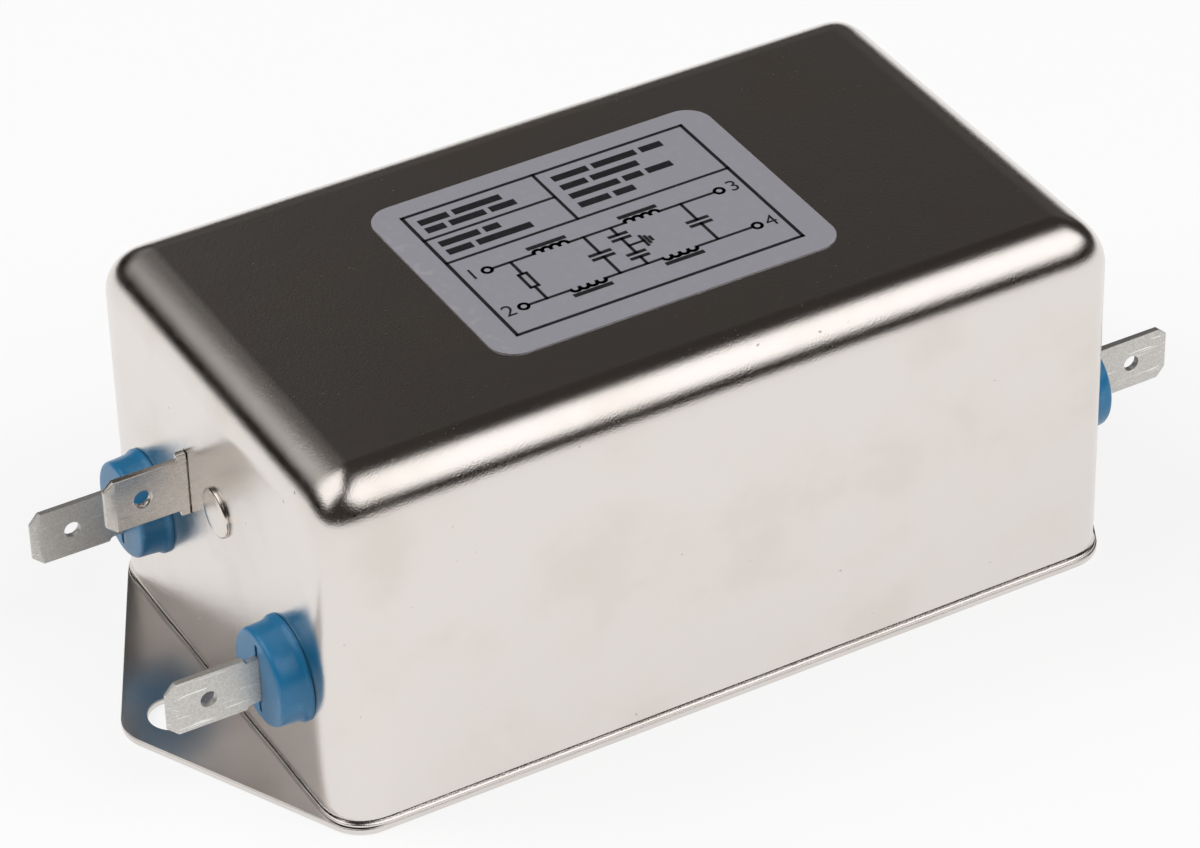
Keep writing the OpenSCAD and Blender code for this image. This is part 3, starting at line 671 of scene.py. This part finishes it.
# %% Bend the strip behind it and weld on the foot
bend = scoop((-0.9, -0.06), 0.3, -90, -180, steps=6) + [(-1.2, 7.2), (-0.4, 7.2)]
bend += scoop((-0.2, 0.56), 0.2, -180, -90, steps=6)
strip = stamped([(0.7, -0.36)] + bend + [(0.7, 0.36)], 6.0)
bmesh.ops.rotate(strip, cent=(0, 0, 0), matrix=Matrix.Rotation(-math.pi / 2, 3, "X"), verts=strip.verts)
foot = bmesh.new()
rod(foot, (-0.8, 7.2, 0.7), "X", 3.3, 0.8, sides=64)
earth = cut(earth, cut(strip, foot, "UNION"), "UNION")
print("open edges in the earth blade:", sum(e.is_boundary for e in earth.edges))
finish_piece("earth_blade", place_at(earth, -1, EARTH_Y, EARTH_Z), nickel, ["earth_tab"],
             sharp=35)

# %% [markdown]
# The rivet has a flat, slightly domed head outside, a shank through the wall and the foot, and a head
# pressed out behind them. It is round all along, so it is turned like the bushings.

# %% Turn the rivet
rivet = turned([
    (0, -1.7), (1.95, -1.7), (2.1, -1.55), (2.1, -1.2), (1.5, -1.2), (1.5, 0), (2.7, 0), (2.75, 0.05),
    (2.75, 0.20), (2.71, 0.32), (2.60, 0.42), (2.42, 0.485), (2.1, 0.525), (1.3, 0.545), (0, 0.55)])
finish_piece("flat_rivet", place_at(rivet, -1, RIVET_Y, RIVET_Z), nickel, ["earth_rivet"],
             sharp=50)

# %% [markdown]
# ## The type label
# The label is a film with rounded corners. It is a grid face with bevelled corners, given a thickness. It
# was stuck on by hand, so it sits a little off the middle and is turned by half a degree, and its print
# turns with it.

# %% Lay down the film
LABEL_L, LABEL_W, LABEL_TOP = 40.5, 30.2, 42.65
LABEL_MIDDLE = Vector((0.2, 0.65, 0))
UNDER_INK = 0.015
askew = Matrix.Rotation(math.radians(0.5), 3, "Z")
label = bmesh.new()
laid = Matrix.Translation((*LABEL_MIDDLE.xy, CAN_TOP)) @ Matrix.Diagonal((LABEL_L, LABEL_W, 1, 1))
corners = bmesh.ops.create_grid(label, x_segments=1, y_segments=1, size=0.5, matrix=laid)["verts"]
bmesh.ops.bevel(label, geom=corners, affect="VERTICES", offset=3.0, segments=14, profile=0.5, material=-1)
grown = bmesh.ops.extrude_face_region(label, geom=label.faces[:])
bmesh.ops.translate(label, vec=(0, 0, LABEL_TOP - CAN_TOP - UNDER_INK),
                    verts=[g for g in grown["geom"] if isinstance(g, bmesh.types.BMVert)])
soften(label, 0.04, limit=60)
bmesh.ops.rotate(label, cent=LABEL_MIDDLE, matrix=askew, verts=label.verts)
print("open edges in the film:", sum(e.is_boundary for e in label.edges))
finish_piece("silver_label", label, film, ["type_label"])

# %% [markdown]
# The print lies on the film as a layer about 0.01 mm thick. An image would be quicker, but shapes stay
# crisp at any distance. Every line is a thin bar between two points, and arcs are rows of short bars. A
# terminal's ring, a coil and a capacitor are each a small function, so the diagram further down reads
# like a parts list.

# %% Tools for the print
PRINT_Z, PRINT_T, TURNS = LABEL_TOP - 0.0075, 0.012, 4
print_form = bmesh.new()


def line(points, width=0.37):
    """Thin bars from point to point."""
    for (x0, y0), (x1, y1) in zip(points, points[1:]):
        place = Matrix.Translation(((x0 + x1) / 2, (y0 + y1) / 2, PRINT_Z))
        turn = Matrix.Rotation(math.atan2(y1 - y0, x1 - x0), 4, "Z")
        size = Matrix.Diagonal((math.hypot(x1 - x0, y1 - y0) + width, width, PRINT_T, 1))
        bmesh.ops.create_cube(print_form, size=1, matrix=place @ turn @ size)


def coil(x, y, up):
    """A coil of half circles 1 mm wide that starts at x, with its core's side up (1) or down (-1)."""
    for i in range(TURNS):
        line(scoop((x + i + 0.5, y), 0.5, 180, 180 - 180 * up), 0.40)


def capacitor(x, y, length=2.2):
    """Two plates across a vertical wire at x, about the height y."""
    for shift in (-0.4, 0.4):
        line([(x - length / 2, y + shift), (x + length / 2, y + shift)], 0.50)


def terminal(x, y):
    """A small ring at a wire's end."""
    line(scoop((x, y), 0.5, 0, 360, steps=20), 0.34)


print("print is drawn", PRINT_T, "mm thick")

# %% [markdown]
# A frame runs round the print. One line marks off its upper part, and two more split that into fields.
# The circuit fills the lower part, in the plain form that such filters share: two wires from left to
# right, each with two coils, and capacitors between the wires. A bar beside each coil stands for its core.

# %% Print the frame and the diagram
LEFT, RIGHT, LOW, HIGH = -16.7, 16.9, -11.45, 13.05
DIVIDER_X, DIVIDER_Y, THIN_RULE = -1.2, 3.4, 0.38
line([(LEFT, LOW), (RIGHT, LOW), (RIGHT, HIGH), (LEFT, HIGH), (LEFT, LOW)], 0.42)
line([(LEFT, DIVIDER_Y), (RIGHT, DIVIDER_Y)], THIN_RULE)
line([(DIVIDER_X, DIVIDER_Y), (DIVIDER_X, HIGH)], THIN_RULE)
line([(LEFT, 8.2), (DIVIDER_X, 8.2)], THIN_RULE)
TOP_WIRE, LOW_WIRE, GROUND = 0.2, -7.4, -3.6
WIRE_LEFT, WIRE_RIGHT, COILS = -13.2, 13.4, (-8.2, 2.6)
for y, up in ((TOP_WIRE, 1), (LOW_WIRE, -1)):
    start = WIRE_LEFT
    for x in COILS:
        line([(start, y), (x, y)])
        coil(x, y, up)
        start = x + TURNS
    line([(start, y), (WIRE_RIGHT, y)])
    for x in (WIRE_LEFT - 0.5, WIRE_RIGHT + 0.5):
        terminal(x, y)
for x in COILS:
    for y in (TOP_WIRE + 1.1, LOW_WIRE - 1.1):
        line([(x, y), (x + TURNS, y)], 0.60)
for x in (-2.4, 9.2):
    line([(x, TOP_WIRE), (x, GROUND + 0.4)])
    capacitor(x, GROUND)
    line([(x, GROUND - 0.4), (x, LOW_WIRE)])
print("print so far:", len(print_form.faces), "faces")

# %% [markdown]
# A resistor joins the two wires near the line end. The middle branch goes through a small capacitor from
# each wire to earth, whose sign is three bars, each shorter than the last. Short plain bars in rows fill
# the fields above.

# %% Print the resistor, the earth branch and the bars
RESISTOR_X, RESISTOR_HALF = -11.0, 1.3
line([(RESISTOR_X, TOP_WIRE), (RESISTOR_X, GROUND + RESISTOR_HALF)])
line([(RESISTOR_X + 0.45 * i, GROUND + RESISTOR_HALF * j)
      for i, j in ((-1, 1), (1, 1), (1, -1), (-1, -1), (-1, 1))])
line([(RESISTOR_X, GROUND - RESISTOR_HALF), (RESISTOR_X, LOW_WIRE)])
BRANCH_X, EARTH_SIGN_X = 0.8, 2.6
for y in (TOP_WIRE, LOW_WIRE):
    middle = (y + GROUND) / 2
    gap = math.copysign(0.4, y - middle)
    line([(BRANCH_X, y), (BRANCH_X, middle + gap)])
    capacitor(BRANCH_X, middle, 1.8)
    line([(BRANCH_X, middle - gap), (BRANCH_X, GROUND)])
line([(BRANCH_X, GROUND), (EARTH_SIGN_X, GROUND)])
for i in range(3):
    x = EARTH_SIGN_X + 0.42 * i
    line([(x, GROUND - 0.95 + 0.32 * i), (x, GROUND + 0.95 - 0.32 * i)])
BARS = [
    (-15.6, 11.3, (3.4, 5.6)), (-15.6, 9.7, (2.2, 4.1, 3.0)),
    (-15.6, 6.8, (4.6, 1.8)), (-15.6, 5.1, (2.9, 6.4)),
    (0.2, 11.2, (4.2, 5.2, 2.6)), (0.2, 9.3, (3.0, 5.6)),
    (0.2, 7.4, (5.8, 2.2, 3.0)), (0.2, 5.5, (3.6, 2.4))]
for x, y, lengths in BARS:
    for length in lengths:
        line([(x + 0.5, y), (x + length - 0.5, y)], 1.05)
        x += length + 0.6
print("print so far:", len(print_form.faces), "faces")

# %% [markdown]
# Each terminal has a plain number. A text curve in the program's own font gives its shape, and the curve
# is made a mesh before it is moved, because a finished piece keeps its place in its mesh. Last, the whole
# print is turned with the film.

# %% Number the terminals and turn the print
def set_number(text, x, y):
    """Sets a plain numeral as thin print."""
    curve = bpy.data.curves.new("numeral", "FONT")
    curve.body, curve.size, curve.extrude = text, 2.7, PRINT_T / 2
    curve.align_x, curve.align_y = "CENTER", "CENTER"
    numeral = bpy.data.objects.new("numeral", curve)
    bpy.context.collection.objects.link(numeral)
    bpy.context.view_layer.update()
    mesh = bpy.data.meshes.new_from_object(numeral.evaluated_get(bpy.context.evaluated_depsgraph_get()))
    mesh.transform(Matrix.Translation((x, y, PRINT_Z)))
    print_form.from_mesh(mesh)
    bpy.data.meshes.remove(mesh)
    bpy.data.curves.remove(curve)


for x, pair in ((-15.4, "12"), (15.6, "34")):
    for text, y in zip(pair, (TOP_WIRE, LOW_WIRE)):
        set_number(text, x, y)
bmesh.ops.rotate(print_form, cent=LABEL_MIDDLE, matrix=askew, verts=print_form.verts)
finish_piece("label_print", print_form, ink, ["type_label"])

# %% [markdown]
# ## The pieces inside
# The can hides the rest, but the part is sold as a set of pieces, so each gets its own finish. The shapes
# come from the CAD model as they are, and only their material slots change.

# %% Dress the CAD nodes
def dress(material, names):
    """Gives a material to CAD nodes."""
    for name in names:
        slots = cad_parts[name].data.materials
        slots.clear()
        slots.append(material)
    print(material.name, "on", ", ".join(names))


# %% [markdown]
# The ring cores are pressed from ferrite powder: nearly black, matt and slightly grainy, with the odd
# chipped grain that catches the light. Their cases, lids and dividers are moulded in ivory plastic, with
# a fine spark-eroded texture.

# %% Ferrite and ivory plastic
ferrite, shader, place = new_material("pressed_ferrite")
chip = step(grain(place, 0.35, 2, shift=1.0), 0.62, 0.72)
feed(shader, "Base Color", blend(chip, (0.030, 0.029, 0.032, 1), (0.085, 0.083, 0.088, 1)))
feed(shader, "Roughness", 0.62 - chip * 0.25)
relief(shader, grain(place, 0.25, 3, shift=2.0), 25.0)
dress(ferrite, ["ferrite_ring_1", "ferrite_ring_2"])

ivory, shader, place = new_material("moulded_ivory", IOR=1.52)
cloud = step(grain(place, 5.0, 3, shift=3.0), 0.35, 0.75)
feed(shader, "Base Color", blend(cloud, (0.72, 0.67, 0.53, 1), (0.64, 0.58, 0.43, 1)))
feed(shader, "Roughness", 0.42 + cloud * 0.12)
relief(shader, grain(place, 0.12, 2, shift=4.0), 6.0)
dress(ivory, [kind + number for number in "12" for kind in ("ring_case_", "ring_lid_", "ring_divider_")])

# %% [markdown]
# The windings are copper wire under a thin enamel, which is why their colour is a deep orange brown with
# a glossy coat. The enamel is a clear coat over metal, and it is slightly darker where it runs thick. The
# earth wire's sleeve has the usual green and yellow stripes: a sine wave that runs slantwise through the
# piece, cut off into two colours.

# %% Enamelled copper and the earth wire's sleeve
STRIPE = 3.2
copper, shader, place = new_material("copper_under_enamel", Metallic=1.0, Coat_Roughness=0.08, Coat_IOR=1.6)
thick = step(grain(place, 3.0, 2, shift=1.0), 0.35, 0.7)
feed(shader, "Base Color", blend(thick, (0.62, 0.235, 0.085, 1), (0.43, 0.130, 0.042, 1)))
feed(shader, "Roughness", 0.30 + thick * 0.08)
feed(shader, "Coat Weight", 0.75 + thick * 0.25)
relief(shader, grain(place, 0.3, 2, shift=2.0), 4.0)
dress(copper, ["winding_1a", "winding_1b", "winding_2a", "winding_2b"])

sleeve, shader, place = new_material("green_yellow_sleeve", IOR=1.5)
x, y, z = [coordinate(place, letter) for letter in "XYZ"]
turns = (x * 0.8 + y * 0.9 + z * 1.1) * (2 * math.pi / (STRIPE * MM))
stripe = step(turns.math("SINE", turns), -0.08, 0.08)
feed(shader, "Base Color", blend(stripe, (0.03, 0.27, 0.06, 1), (0.74, 0.60, 0.035, 1)))
feed(shader, "Roughness", 0.38 + grain(place, 1.2, 2, shift=1.0) * 0.12)
relief(shader, grain(place, 0.4, 2, shift=5.0), 6.0)
dress(sleeve, ["earth_wire"])

# %% [markdown]
# The capacitors are films in moulded boxes: yellow ones across the line, blue ones from each line to
# earth. Both are slightly glossy, with a faint flow pattern from the mould.

# %% The capacitors' boxes
for colour, first, second, letter in (
        ("yellow", (0.78, 0.50, 0.045, 1), (0.70, 0.42, 0.03, 1), "x"),
        ("blue", (0.045, 0.155, 0.44, 1), (0.03, 0.115, 0.36, 1), "y")):
    box_plastic, shader, place = new_material(colour + "_box_plastic", IOR=1.5)
    flow = step(grain(place, 2.0, 4, stretch=(1, 3, 1), shift=2.0), 0.35, 0.75)
    feed(shader, "Base Color", blend(flow, first, second))
    feed(shader, "Roughness", 0.34 + flow * 0.14)
    relief(shader, grain(place, 0.15, 2, shift=1.0), 5.0)
    dress(box_plastic, [letter + "_capacitor_1", letter + "_capacitor_2"])

# %% [markdown]
# The resistor is a beige lacquered body with four colour rings between tinned leads. The rings are read
# off the distance along its axis, and the leads begin where the distance from that axis is small.

# %% The resistor
BEIGE, BROWN, BLACK = (0.60, 0.47, 0.27), (0.20, 0.08, 0.03), (0.02, 0.02, 0.02)
YELLOW, GOLD, RING = (0.78, 0.62, 0.05), (0.55, 0.38, 0.08), 0.05
lowest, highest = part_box("discharge_resistor")
lacquer, shader, place = new_material("resistor_lacquer", IOR=1.5)
x, y, z = [coordinate(place, letter) for letter in "XYZ"]
across = x - (lowest[0] + highest[0]) / 2
rise = z - (lowest[2] + highest[2]) / 2
away = across.math("SQRT", across * across + rise * rise)
lead = 1 - step(away, 0.50 * MM, 0.56 * MM)
lead = lead * step(y.math("ABSOLUTE", y), 4.40 * MM, 4.55 * MM)
along = y / (11 * MM) + 0.5
stops = [(0.0, BEIGE)]
for start, colour in ((0.22, BROWN), (0.36, BLACK), (0.50, YELLOW), (0.70, GOLD)):
    stops += [(start, colour), (start + RING, BEIGE)]
rings = along.node("ValToRGB", {"stops": stops}, {0: along})
rings.tree.nodes["Color Ramp"].color_ramp.interpolation = "CONSTANT"
feed(shader, "Base Color", blend(lead, rings, (0.70, 0.69, 0.66, 1)))
feed(shader, "Metallic", lead)
feed(shader, "Roughness", 0.33 + grain(place, 0.8, 2, shift=1.0) * 0.12)
relief(shader, grain(place, 0.5, 2, shift=2.0), 8.0)
dress(lacquer, ["discharge_resistor"])

# %% [markdown]
# The insulating sheet is pressed fibre board, dull and flecked. The casting resin that fills the top of
# the can is dark and fairly glossy, with tiny bubbles near its surface.

# %% The board and the resin
board, shader, place = new_material("fibre_board")
fibre = step(grain(place, 0.5, 3, stretch=(4, 1, 1), shift=2.0), 0.45, 0.7)
feed(shader, "Base Color", blend(fibre, (0.20, 0.155, 0.105, 1), (0.31, 0.255, 0.185, 1)))
feed(shader, "Roughness", 0.78 - fibre * 0.12)
relief(shader, fibre + grain(place, 0.2, 2), 12.0)
dress(board, ["insulating_sheet"])

resin, shader, place = new_material("dark_casting_resin", IOR=1.54)
bubble = step(grain(place, 1.3, 1, shift=3.0), 0.72, 0.76)
feed(shader, "Base Color", blend(bubble, (0.022, 0.020, 0.019, 1), (0.060, 0.052, 0.045, 1)))
feed(shader, "Roughness", 0.24 + grain(place, 4.0, 2, shift=1.0) * 0.15)
relief(shader, grain(place, 3.0, 2, shift=2.0) - bubble * 0.5, 30.0)
dress(resin, ["casting_resin"])

# %% [markdown]
# ## The studio
# Bright metal shows its surroundings more than itself. The photograph's reflections say what stood
# around it: a wide soft box on the left, one on the right, a dark gap between them where the camera is,
# a dark back wall and a white table. The world paints these as soft-edged cards on the sky. Each is given
# by the direction of its middle, its roll, half its width and height at distance 1, the blur of its sides
# and ends, and its brightness. A flag is a black card that takes light away, for crisp dark lines.

# %% Cards on the sky
world = bpy.data.worlds.new("studio")
world.use_nodes = True
bpy.context.scene.world = world
sky = Wire(world.node_tree)
direction = sky.node("TexCoord")


def card(azimuth, tilt, roll, half_wide, half_high, side_blur, end_blur, level):
    """A soft-edged bright rectangle of sky, flat like a real soft box; angles in degrees."""
    aim = Matrix.Rotation(math.radians(azimuth), 3, "Z") @ Matrix.Rotation(-math.radians(tilt), 3, "Y")
    aim = aim @ Matrix.Rotation(math.radians(roll), 3, "X")
    ahead, aside, above = [
        direction.node("VectorMath", {"operation": "DOT_PRODUCT"}, {0: direction, 1: aim.col[i]}, out="Value")
        for i in range(3)]
    front = ahead.math("MAXIMUM", ahead, 0.02)
    u, v = [part.math("ABSOLUTE", part / front) for part in (aside, above)]
    inside = 1 - step(u, half_wide - side_blur, half_wide + side_blur)
    inside = inside * (1 - step(v, half_high - end_blur, half_high + end_blur))
    return inside * step(ahead, 0.02, 0.10) * level


cards = [
    (152, 55.5, 11.7, 0.49, 0.53, 0.20, 0.11, 1.25),   # the soft box on the left
    (310, 53, 9.4, 0.50, 0.37, 0.18, 0.12, 1.32),      # the soft box on the right
    (100, 35, 0, 0.42, 0.15, 0.10, 0.10, 0.15),        # the back wall, where the left box lights it
    (62, 22, 0, 0.60, 0.20, 0.12, 0.12, 0.045),        # the wall behind the load end
    (134, 13, 0, 0.60, 0.24, 0.15, 0.10, -0.030),      # a black flag under the left box
    (294, 15, 0, 0.60, 0.24, 0.15, 0.10, -0.030),      # a black flag under the right box
]
glow = sum((card(*one) for one in cards[1:]), card(*cards[0]))
print("cards on the sky:", len(cards))

# %% [markdown]
# Below the horizon metal mirrors the white table, so the sky is white there and fades out upwards. The
# fade sits a few degrees higher towards the right soft box, and it leaves a gap towards -X, where the
# room is dark. The rest of the room gives a faint warm glow. Only reflections and the light on the part
# see all this. The camera sees plain white, as in a product picture.

# %% Paint the rest of the sky
LEAN_TO, LEAN = math.radians(295), 4.5
HORIZON, ROOM = 0.88, 0.034
east, north, height = [coordinate(direction, letter) for letter in "XYZ"]
elevation = height.math("ARCSINE", height) * (180 / math.pi)
lift = elevation - (east * math.cos(LEAN_TO) + north * math.sin(LEAN_TO)) * LEAN
horizon = (1 - step(lift, -5, 6)) * HORIZON
bearing = height.math("ABSOLUTE", height.math("ARCTAN2", north * -1, east * -1)) * (180 / math.pi)
gap = 1 - step(bearing, 14, 36)
glow = glow + ROOM + horizon * (1 - gap)
warm = glow.node("CombineColor", {}, {0: glow, 1: glow - 0.004, 2: glow - 0.007})
seen = sky.node("LightPath", out="Is Camera Ray")
seen = seen.math("MAXIMUM", seen, sky.node("LightPath", out="Is Transmission Ray"))
lit = blend(seen, warm, (1, 1, 1, 1))
world.node_tree.links.new(lit.socket, world.node_tree.nodes["Background"].inputs["Color"])
print("the horizon glows at", HORIZON, "and the room at", ROOM)

# %% [markdown]
# The table is white and very large. Camera rays and mirror reflections see it nearly at full white, and
# the rest of its colour is ordinary diffuse paper, which keeps the soft shadow under the part. It lies
# a tenth of a millimetre below the plate, so that the two faces don't coincide.

# %% Lay the table
WHITE_SHARE = 0.80
table_form = bmesh.new()
bmesh.ops.create_grid(table_form, x_segments=8, y_segments=8, size=3.0)
table_mesh = bpy.data.meshes.new("table")
table_form.to_mesh(table_mesh)
table_form.free()
table = bpy.data.objects.new("table", table_mesh)
bpy.context.collection.objects.link(table)
table.location.z = -0.1 * MM
paper, shader, place = new_material("white_paper", Roughness=0.9)
feed(shader, "Base Color", blend(grain(place, 40, 2), (0.90, 0.90, 0.90, 1), (0.88, 0.88, 0.88, 1)))
tree = paper.node_tree
first, second, third = [place.node("LightPath", out=f"Is {kind} Ray")
                        for kind in ("Camera", "Glossy", "Transmission")]
plain = first.math("MAXIMUM", first.math("MAXIMUM", first, second), third)
white = tree.nodes.new("ShaderNodeEmission")
mixed = tree.nodes.new("ShaderNodeMixShader")
tree.links.new((plain * WHITE_SHARE).socket, mixed.inputs[0])
tree.links.new(shader.outputs[0], mixed.inputs[1])
tree.links.new(white.outputs[0], mixed.inputs[2])
tree.links.new(mixed.outputs[0], tree.nodes["Material Output"].inputs["Surface"])
table_mesh.materials.append(paper)
print("the table is", round(table.dimensions.x, 1), "m wide")

# %% [markdown]
# Two soft lamps lift the light to a plain level, at which a colour renders about as it is written. They
# stand where the soft boxes are, and they are hidden from mirror reflections, because the sky already
# shows the boxes there.

# %% Set the lamps
def lamp(name, azimuth, height_angle, distance, size, watts):
    """A square lamp that points at the part."""
    light = bpy.data.lights.new(name, "AREA")
    light.energy, light.size = watts, size
    made = bpy.data.objects.new(name, light)
    bpy.context.collection.objects.link(made)
    a, e = math.radians(azimuth), math.radians(height_angle)
    made.location = Vector((math.cos(a) * math.cos(e), math.sin(a) * math.cos(e), math.sin(e))) * distance
    made.rotation_euler = made.location.to_track_quat("Z", "Y").to_euler()
    made.visible_glossy = False
    made.visible_camera = False


lamp("left_fill", 150, 50, 1.4, 0.9, 7.0)
lamp("right_fill", 300, 48, 1.4, 0.9, 7.0)
print("lamps set")
